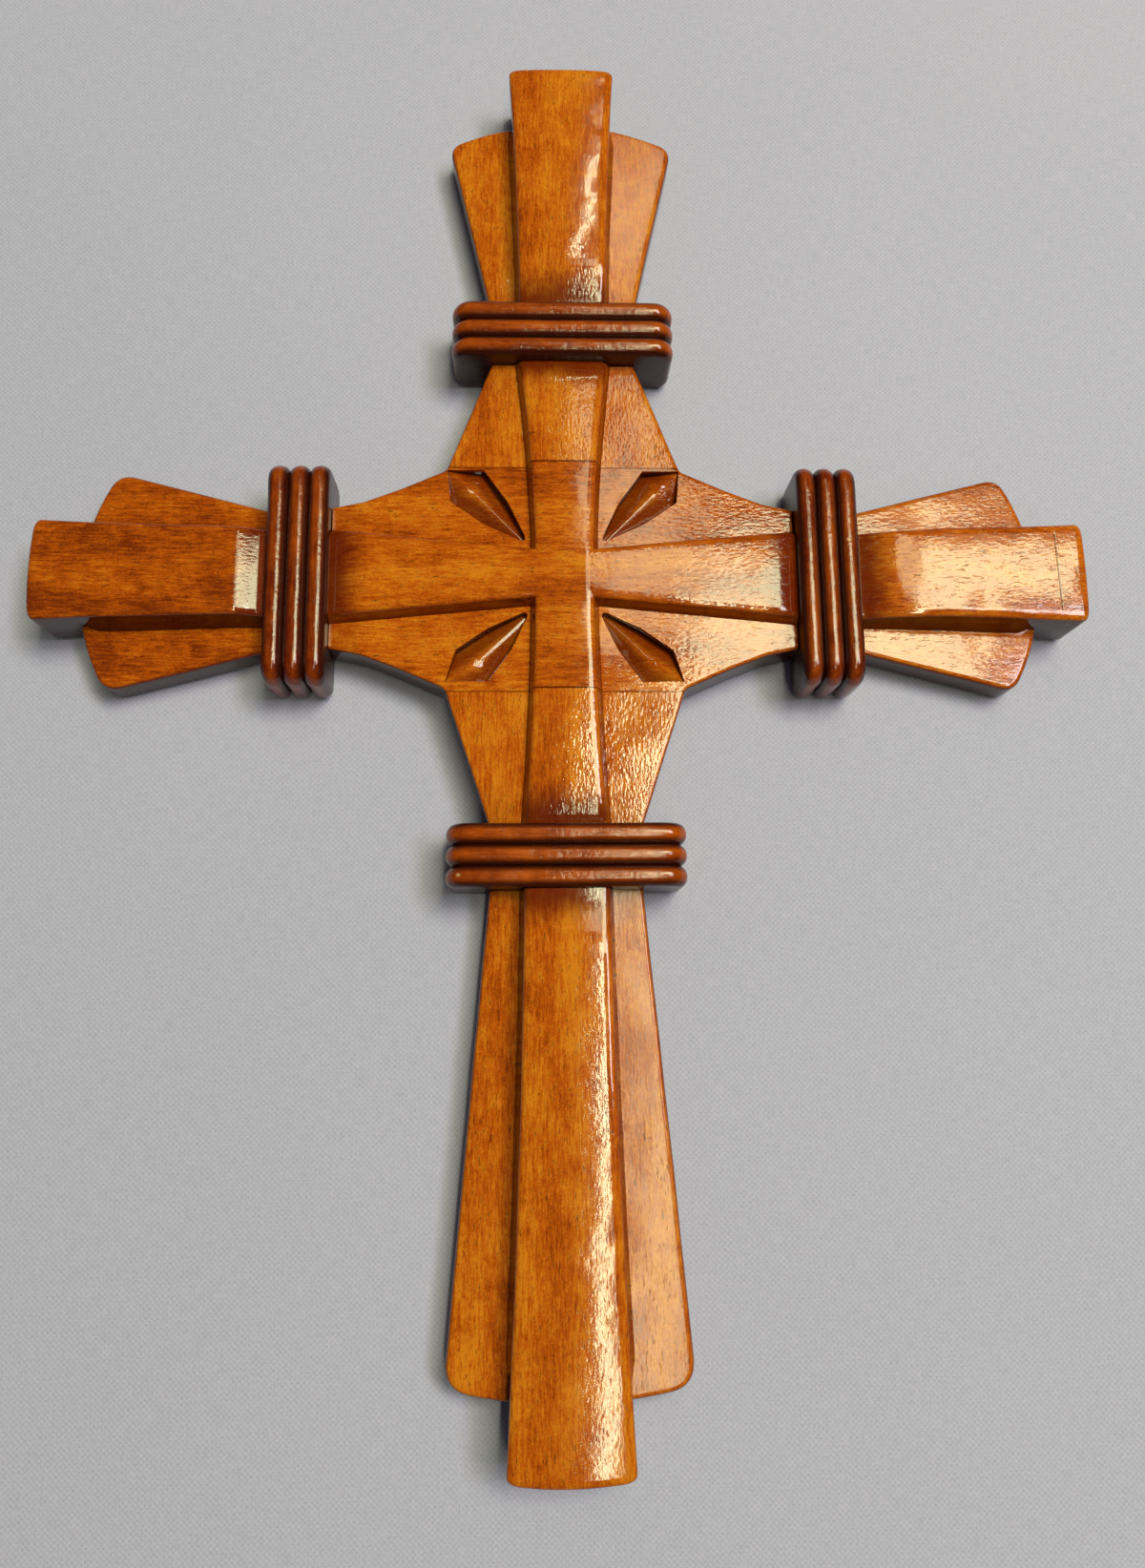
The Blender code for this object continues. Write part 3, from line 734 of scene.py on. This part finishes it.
# The bar ends are cut to a slight curve.
def bowed(x, y):
    ends = (("top", 1, 0), ("bottom", -1, 0), ("left", -1, 1), ("right", 1, 1))
    for side, sign, level in ends:
        arm = arms[side]
        along, across = (x, y) if level else (y, x)
        share = ease((along * sign - arm["reach"] + board["bow"]) / board["bow"])
        push = sign * arm["bulge"] * min((across / arm["end"]) ** 2, 1.0) * share
        x, y = (x - push, y) if level else (x, y - push)
    return x, y


def handWork(point):
    x, y, z = point
    x, y = bowed(x, y)
    level = ease((z - 2.0) / 5.0)
    swell = 0.12 * noise.noise(Vector((x / 17.0, y / 17.0, 3.1)))
    swell += 0.05 * noise.noise(Vector((x / 6.0, y / 6.0, 7.7)))
    across = 0.33 * min((x / 14.0) ** 2, 1.2)
    crown = min(across, 0.14 * (y / 14.0) ** 2) * ease((z - 12.5) / 2.0)
    drift = 0.14 * noise.noise(Vector((x / 21.0, y / 21.0, z / 9.0 + 1.7)))
    sway = 0.14 * noise.noise(Vector((x / 21.0, y / 21.0, z / 9.0 + 9.3)))
    x = min(max(x + drift * level, -arms["left"]["reach"]), arms["right"]["reach"])
    y = min(max(y + sway * level, -arms["bottom"]["reach"]), arms["top"]["reach"])
    return Vector((x, y, z + (swell - crown) * level))


def finishPiece(shape, name, material, replaced, spacing=None, smooth=32.0):
    bm = bmesh.new()
    bm.from_mesh(shape.data)
    if spacing:
        gridCuts(bm, spacing)
        for vert in bm.verts:
            vert.co = handWork(vert.co)
    bmesh.ops.scale(bm, vec=(metres, metres, metres), verts=bm.verts)
    bmesh.ops.remove_doubles(bm, verts=bm.verts, dist=0.000002)
    openEdges = sum(1 for edge in bm.edges if not edge.is_manifold)
    mesh = bpy.data.meshes.new(name)
    bm.to_mesh(mesh)
    bm.free()
    for face in mesh.polygons:
        face.use_smooth = True
    mesh.set_sharp_from_angle(angle=math.radians(smooth))
    bpy.data.objects.remove(shape, do_unlink=True)
    piece = bpy.data.objects.new(name, mesh)
    bpy.context.scene.collection.objects.link(piece)
    mesh.materials.clear()
    mesh.materials.append(material)
    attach(piece, "root")
    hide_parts(replaced)
    print(name, len(mesh.polygons), "faces,", openEdges, "open edges")
    return piece


# Upright

hanger = {
    "place": 122.0,
    "screws": 17.25,
    "rebate": (7.2, 22.2, 1.9),     # half width, half length and depth
    "pocket": (5.5, 12.5, 8.2),
    "pilot": (1.6, 12.7),           # radius and depth
}
peg = {
    "out": 21.0,
    "hole": 3.2,
    "holeTop": 12.1,
}
pegPlaces = {
    "top": (0.0, peg["out"]),
    "bottom": (0.0, -peg["out"]),
    "left": (-peg["out"], 0.0),
    "right": (peg["out"], 0.0),
}
cutBelow = -3.0               # where the cutters start, below the back
core = {"half": 34.1, "reach": 35.15, "low": -1.15, "high": 5.7}


def stadium(halfWidth, halfLength, centre, steps=14):
    outline = []
    for sign in (1, -1):
        for step in range(steps + 1):
            angle = math.pi * ((sign < 0) + step / steps)
            middle = (halfLength - halfWidth) * sign
            along = centre + middle + halfWidth * math.sin(angle)
            outline.append((halfWidth * math.cos(angle), along))
    return outline


def slab(name, outline, low, high):
    bm = bmesh.new()
    face = bm.faces.new([bm.verts.new((x, y, low)) for x, y in outline])
    grown = bmesh.ops.extrude_face_region(bm, geom=[face])
    upper = [item for item in grown["geom"] if isinstance(item, bmesh.types.BMVert)]
    bmesh.ops.translate(bm, vec=(0.0, 0.0, high - low), verts=upper)
    return shapeObject(name, bm)


def pegHoles():
    holes = []
    for key, place in pegPlaces.items():
        holes.append(rod("hole" + key, peg["hole"], cutBelow, peg["holeTop"], place))
    return holes


def hangerCuts():
    middle = hanger["place"]
    cuts = []
    for key in ("rebate", "pocket"):
        halfWidth, halfLength, depth = hanger[key]
        cuts.append(slab(key, stadium(halfWidth, halfLength, middle), cutBelow, depth))
    radius, depth = hanger["pilot"]
    for sign in (-1, 1):
        place = (0.0, middle + sign * hanger["screws"])
        cuts.append(rod("pilot%d" % sign, radius, cutBelow, depth, place))
    return cuts


def buildUpright():
    low = (-core["half"], -core["reach"], core["low"])
    base = block("upright", low, (core["half"], core["reach"], core["high"]))
    shapes = [groundPlate("upperGround", "top"), groundPlate("lowerGround", "bottom")]
    shapes += armShapes("top") + armShapes("bottom")
    for side, wide, count in (("top", bars["wide"], 17), ("bottom", bars["bottomWide"], 19)):
        far = arms[side]["collar"] - board["shoulder"]
        seam = board["seam"]
        stations = flareStations(seam, far, bars["slim"], wide, bars["power"], count)
        shapes.append(innerBar(side + "InnerBar", stations, far, side))
    carve(base, shapes, "UNION")
    finishBoard(base, pegHoles() + hangerCuts())
    material = boardMaterial("uprightWood", "y", 0.0, (77.0, -82.4), 0.85)
    return finishPiece(base, "uprightBoard", material, "upright", board["grid"])


# Crosspiece

ray = {
    "inner": (10.4, 10.4, 9.7),
    "side": (23.6, 16.8, 7.9),
    "shoulder": (33.3, 23.6, 8.4),
    "outer": (34.2, 33.4, 10.9),
    "peak": (27.6, 27.6, 11.3),
    "lowerScale": 0.94,
    "rimCut": 0.45,
    "flare": 0.5,
}


# A ray is a long low pyramid left standing in a hollow; the cutter is everything above it.
def rayCutter(name, sideX, sideY, scale):
    halfRing = [ray["inner"], ray["side"], ray["shoulder"], ray["outer"]]
    corners = halfRing + [(y, x, z) for x, y, z in (ray["shoulder"], ray["side"])]
    corners = [(x * scale, y * scale, z) for x, y, z in corners]
    corners[3] = (ray["outer"][0], ray["outer"][1] * scale, ray["outer"][2])
    centre = Vector((0.0, 0.0))
    for x, y, z in corners:
        centre += Vector((x, y)) / len(corners)
    bm = bmesh.new()
    floor = [bm.verts.new(corner) for corner in corners]
    peak = bm.verts.new((ray["peak"][0] * scale, ray["peak"][1] * scale, ray["peak"][2]))
    for k in range(len(floor)):
        bm.faces.new((floor[k], floor[(k + 1) % len(floor)], peak))
    ridge = [edge for edge in bm.edges if peak in edge.verts and floor[0] in edge.verts]
    bmesh.ops.bevel(
        bm, geom=ridge, offset=1.35, segments=6, profile=0.5, affect="EDGES", material=-1
    )
    edges = [edge for edge in bm.edges if edge.is_boundary]
    ground, flare = board["ground"], ray["flare"]
    levels = [(ground - ray["rimCut"], 0.0), (ground + 0.2, flare), (ground + 6.0, flare)]
    for height, spread in levels:
        grown = bmesh.ops.extrude_edge_only(bm, edges=edges)["geom"]
        fresh = [item for item in grown if isinstance(item, bmesh.types.BMVert)]
        edges = [
            item
            for item in grown
            if isinstance(item, bmesh.types.BMEdge) and all(v in fresh for v in item.verts)
        ]
        for vert in fresh:
            away = Vector((vert.co.x, vert.co.y)) - centre
            if height < board["ground"] + 1.0:
                away = away.normalized() * spread
                vert.co.x += away.x
                vert.co.y += away.y
            vert.co.z = height
    bmesh.ops.holes_fill(bm, edges=[edge for edge in bm.edges if edge.is_boundary], sides=0)
    bmesh.ops.scale(bm, vec=(sideX, sideY, 1.0), verts=bm.verts)
    return shapeObject(name, bm)


crossEdge = {
    "step": 1.0,
    "inner": (13.5, 27.9),    # how far past the upright, and how far from the middle line
    "outer": (24.5, 23.6),
}
lapNotch = {"half": 34.3, "reach": 45.0, "low": -5.0, "high": 5.9}


# The half widths of the upright bar from the crossing to the seam, as its other part goes on.
def plumbStations(side, wide):
    half, slim, power = board["half"], bars["slim"], bars["power"]
    far = arms[side]["collar"] - board["shoulder"]
    share = (half - bars["flareStart"]) / (far - bars["flareStart"])
    atSeam = between(slim, wide, share ** power)
    return flareStations(bars["near"], half, slim, atSeam, power, 10)


def mirrored(stations):
    return [(-along, half) for along, half in reversed(stations)]


def buildCrosspiece():
    half = board["half"]
    far = arms["left"]["collar"] - board["shoulder"]
    quarter = [(half, half), (half + crossEdge["step"], half - crossEdge["step"])]
    for key in ("inner", "outer"):
        out, up = crossEdge[key]
        quarter.append((half + out, up))
    quarter.append((far, board["waist"]))
    star = list(quarter)
    star += [(x, -y) for x, y in reversed(star)]
    star += [(-x, y) for x, y in reversed(star)]
    hidden = lambda p: abs(p.x) > far - 0.1 or (abs(p.x) < half - 0.1 and abs(p.y) > half - 0.1)
    base = plate("crosspiece", star, -1.9, board["ground"], 1.0, hidden)
    shapes = armShapes("left") + armShapes("right")
    level = flareStations(bars["near"], far, bars["levelSlim"], bars["wide"], 1.0, 22)
    stations = mirrored(level) + level
    shapes.append(innerBar("levelBar", stations, far, "right", bars["levelLower"]))
    upper = plumbStations("top", bars["wide"])
    lower = plumbStations("bottom", bars["bottomWide"])
    shapes.append(innerBar("plumbBar", mirrored(lower) + upper, far, "top"))
    carve(base, shapes, "UNION")
    low = (-lapNotch["half"], -lapNotch["reach"], lapNotch["low"])
    cuts = [block("lapNotch", low, (lapNotch["half"], lapNotch["reach"], lapNotch["high"]))]
    cuts += [
        rayCutter("rayUpperLeft", -1, 1, 1.0),
        rayCutter("rayUpperRight", 1, 1, 1.0),
        rayCutter("rayLowerLeft", -1, -1, ray["lowerScale"]),
        rayCutter("rayLowerRight", 1, -1, ray["lowerScale"]),
    ]
    finishBoard(base, cuts + pegHoles())
    material = boardMaterial("crosspieceWood", "x", 40.0, (77.0, -77.0), 0.95)
    return finishPiece(base, "crosspieceBoard", material, "crosspiece", board["grid"])


# Collars

collar = {
    "half": 33.5,
    "low": -2.5,
    "high": 19.1,
    "backRound": 4.2,
    "frontRound": 6.2,
    "pitch": 5.9,
    "bead": 2.4,
    "room": 0.2,              # between a collar and the waist that it sits on
    "ribSlot": 14.4,
    "cutReach": 11.0,
    "cutLow": -9.0,
    "wave": 0.13,
    "waveLength": 9.0,
}


def collarOutline(offset):
    half, low, high = collar["half"] - offset, collar["low"] + offset, collar["high"] - offset
    corners = [
        (half, high, 1, 1, max(collar["frontRound"] - offset, 0.5)),
        (-half, high, -1, 1, max(collar["frontRound"] - offset, 0.5)),
        (-half, low, -1, -1, max(collar["backRound"] - offset, 0.5)),
        (half, low, 1, -1, max(collar["backRound"] - offset, 0.5)),
    ]
    outline = []
    for index, (x, z, signX, signZ, radius) in enumerate(corners):
        for step in range(9):
            angle = math.radians(index * 90.0 + 90.0 * step / 8)
            outline.append((
                x - signX * radius + radius * math.cos(angle),
                z - signZ * radius + radius * math.sin(angle),
            ))
        follow = corners[(index + 1) % 4]
        angle = math.radians(index * 90.0 + 90.0)
        last = outline[-1]
        first = (
            follow[0] - follow[2] * follow[4] + follow[4] * math.cos(angle),
            follow[1] - follow[3] * follow[4] + follow[4] * math.sin(angle),
        )
        fills = 22 if index % 2 == 0 else 4
        for step in range(1, fills):
            share = step / fills
            outline.append((between(last[0], first[0], share), between(last[1], first[1], share)))
    return outline


def beadedRing(name, side):
    profile = []
    for bead in range(3):
        middle = (bead - 1) * collar["pitch"]
        edge = collar["pitch"] / 2
        for step in range(15 if bead == 2 else 14):
            angle = math.radians(180.0 * step / 14)
            inward = collar["bead"] * (1.0 - math.sin(angle))
            profile.append((middle - edge * math.cos(angle), inward))
    place = arms[side]["collar"]
    rings = []
    for along, inward in profile:
        rings.append([(x, place + along, z) for x, z in collarOutline(inward)])
    return turned(loft(name, rings), side)


def slotShapes(side):
    place, room = arms[side]["collar"], collar["room"]
    near, far = place - collar["cutReach"], place + collar["cutReach"]
    neck, rib = board["neck"] + room, board["rib"] + room
    lower = block("slotBase", (-neck, near, collar["cutLow"]), (neck, far, board["neckTop"] + room))
    upper = block("slotRib", (-rib, near, 6.5), (rib, far, collar["ribSlot"] + room))
    return [turned(lower, side), turned(upper, side)]


def smoothWave(bm, seed):
    for vert in bm.verts:
        x, y, z = [part / collar["waveLength"] for part in vert.co]
        push = [noise.noise(Vector((x, y, z + seed + shift))) for shift in (0.0, 5.0, 11.0)]
        vert.co += Vector(push) * collar["wave"]
        vert.co.z = min(max(vert.co.z, collar["low"]), collar["high"])


def buildCollar(side, seed):
    place = arms[side]["collar"]
    sign = {"top": 1, "right": 1, "bottom": -1, "left": -1}[side]
    axis = "y" if side in ("top", "bottom") else "x"
    material = collarMaterial(side + "CollarWood", axis, sign * place, seed * 9.0)
    saddle = beadedRing("saddle", side)
    carve(saddle, slotShapes(side), "DIFFERENCE")
    keeper = beadedRing("keeper", side)
    neck, reach = board["neck"], collar["cutReach"]
    low, high = (-neck, place - reach, collar["cutLow"]), (neck, place + reach, -collar["room"])
    window = turned(block("window", low, high), side)
    carve(keeper, [window], "INTERSECT")
    for shape in (saddle, keeper):
        bm = bmesh.new()
        bm.from_mesh(shape.data)
        smoothWave(bm, seed)
        bm.to_mesh(shape.data)
        bm.free()
    node, piece = "collar_" + side, side + "Collar"
    finishPiece(saddle, piece, material, node, smooth=40.0)
    finishPiece(keeper, piece + "Keeper", material, node + "_keeper", smooth=40.0)


# Pegs and hanger, kept from the frame

def dressNode(name, material):
    mesh = nodes[name].data
    mesh.materials.clear()
    mesh.materials.append(material)


def dressSmallParts():
    for key, place in pegPlaces.items():
        dressNode("lap_peg_" + key, pegMaterial("pegWood" + key, place))
    dressNode("hanger_plate", steelMaterial("plateSteel", 6.0))
    for key in ("upper", "lower"):
        dressNode("hanger_screw_" + key, steelMaterial("screwSteel" + key, 0.4))


# Cloth and surroundings

cloth = {
    "level": -2.52,
    "size": 1600.0,
    "pale": (0.550, 0.530, 0.715),
    "deep": (0.388, 0.378, 0.525),
    "thread": 0.80,
}


def buildCloth():
    bm = bmesh.new()
    bmesh.ops.create_grid(bm, x_segments=40, y_segments=40, size=cloth["size"])
    bmesh.ops.translate(bm, vec=(0.0, 0.0, cloth["level"]), verts=bm.verts)
    bmesh.ops.scale(bm, vec=(metres, metres, metres), verts=bm.verts)
    mesh = bpy.data.meshes.new("cloth")
    bm.to_mesh(mesh)
    bm.free()
    floor = bpy.data.objects.new("cloth", mesh)
    bpy.context.scene.collection.objects.link(floor)
    material, kit, shader = newMaterial("clothWeave", {"IOR": 1.40, "Sheen Weight": 0.1})
    place = kit.add("ShaderNodeTexCoord", None, None, 3)
    x, y, z = [part * 1000.0 for part in kit.split(place)]
    drift = kit.noise(kit.vector(x / 9.0, y / 9.0, 0.0), 2.0)
    warp = ((x + drift * 0.9) * (math.pi / cloth["thread"])).math("SINE")
    weft = ((y + drift * 0.9) * (math.pi / cloth["thread"])).math("SINE")
    slub = kit.noise(kit.vector(x / 0.5, y / 5.0, 0.0), 2.0)
    slubAcross = kit.noise(kit.vector(x / 5.0, y / 0.5, 4.0), 2.0)
    weave = (warp * weft) * 0.5 + 0.5
    grit = kit.noise(kit.vector(x / 0.45, y / 0.45, 0.0), 1.0)
    soft = kit.noise(kit.vector(x / 160.0, y / 160.0, 0.0), 2.0)
    share = 0.30 + (weave - 0.5) * 0.55 + (slub - 0.5) * 0.7 + (slubAcross - 0.5) * 0.7
    share = share + (grit - 0.5) * 0.9 + (soft - 0.5) * 0.3
    colour = kit.blend(share.clamp(), cloth["pale"], cloth["deep"])
    height = weave * 0.05 + slub * 0.06 + slubAcross * 0.06
    rough = 0.86 + (grit - 0.5) * 0.1
    finishMaterial(kit, shader, Base_Color=colour, Roughness=rough, Normal=kit.bump(height))
    mesh.materials.append(material)


def buildWorld():
    world = bpy.data.worlds.new("room")
    bpy.context.scene.world = world
    world.use_nodes = True
    kit = Kit(world.node_tree)
    background = world.node_tree.nodes["Background"]
    place = kit.add("ShaderNodeTexCoord", None, None, 0)
    up = kit.split(place)[2]
    seen = kit.add("ShaderNodeLightPath", None, None, 0)
    shine = kit.add("ShaderNodeLightPath", None, None, 3)
    through = kit.add("ShaderNodeLightPath", None, None, 6)
    pale = roomLight["pale"]
    horizon = roomLight["horizon"]
    walls = horizon + (roomLight["overhead"] - horizon) * up.ramp(-0.05, 0.28)
    strength = roomLight["fill"] + (walls - roomLight["fill"]) * shine
    strength = strength + (pale - strength) * seen.max(through)
    background.inputs["Color"].default_value = (0.97, 0.98, 1.0, 1.0)
    world.node_tree.links.new(strength.out, background.inputs["Strength"])


addLights()
buildWorld()
buildCloth()
print("camera, light and cloth ready")
buildUpright()
buildCrosspiece()
print("boards carved")
for number, side in enumerate(("top", "bottom", "left", "right")):
    buildCollar(side, number + 1.0)
print("collars turned on")
dressSmallParts()

sceneSettings = bpy.context.scene.view_settings
sceneSettings.view_transform = "Standard"
